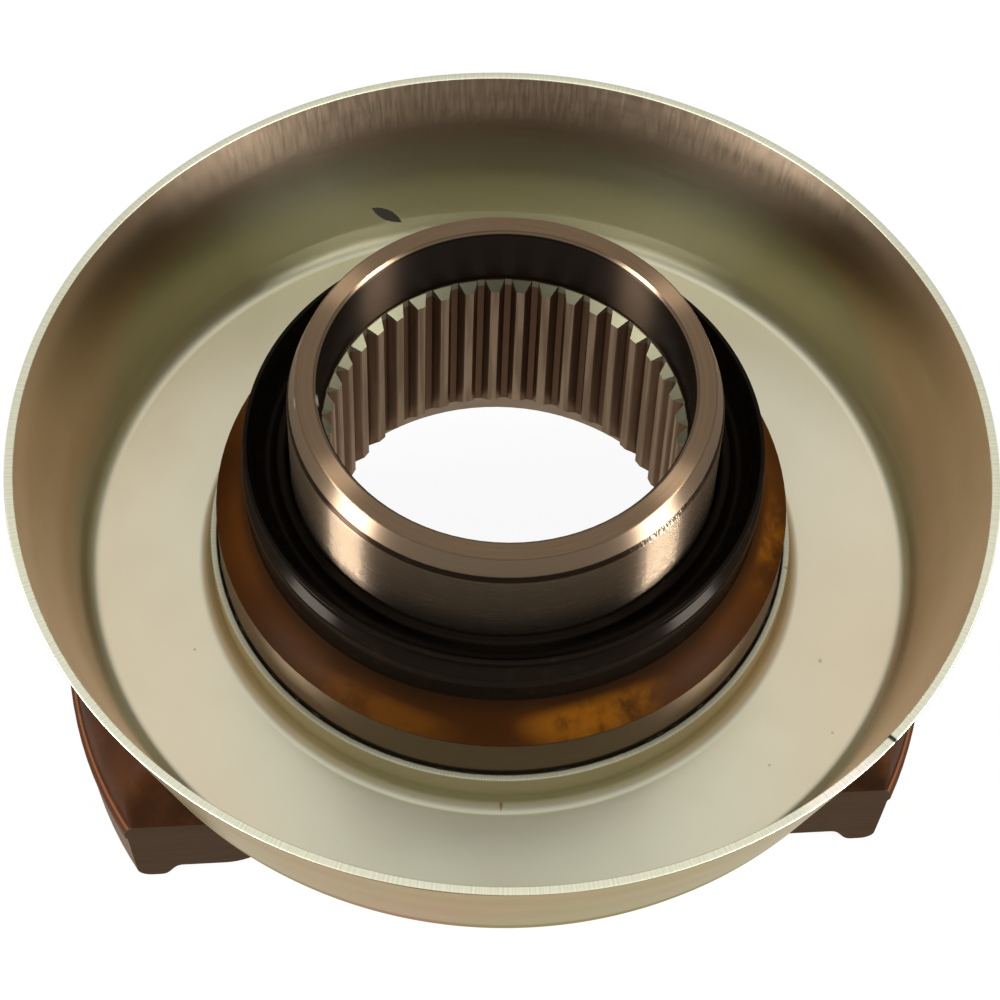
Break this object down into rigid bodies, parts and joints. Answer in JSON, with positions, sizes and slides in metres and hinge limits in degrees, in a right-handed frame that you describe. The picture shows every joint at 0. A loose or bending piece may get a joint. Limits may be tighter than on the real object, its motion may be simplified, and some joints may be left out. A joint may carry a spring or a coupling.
{
  "type": "universal joint yoke",
  "caption": "Half-round end yoke for a universal joint: splined hub with ground seal journal, pressed dust shield, rubber excluder ring and forged ears with locating lugs",
  "frame": {"origin": "on the shaft's axis, in the plane of the lug ends", "axes": "+Z along the shaft's axis towards the splined hub's nose, X through the two half-round bearing seats from ear to ear, Y across the joint through the throat"},
  "size_m": [0.184, 0.184, 0.1032],
  "materials": {
    "forged_steel": "oiled brown forging, with turned land and ground journal",
    "plated_sheet": "pale yellow passivated zinc on pressed sheet, satin",
    "seal_rubber": "moulded black rubber, slight sheen"
  },
  "bodies": {
    "root": {"end_yoke": "forged_steel", "dust_shield": "plated_sheet", "seal_ring": "seal_rubber"}
  },
  "joints": []
}
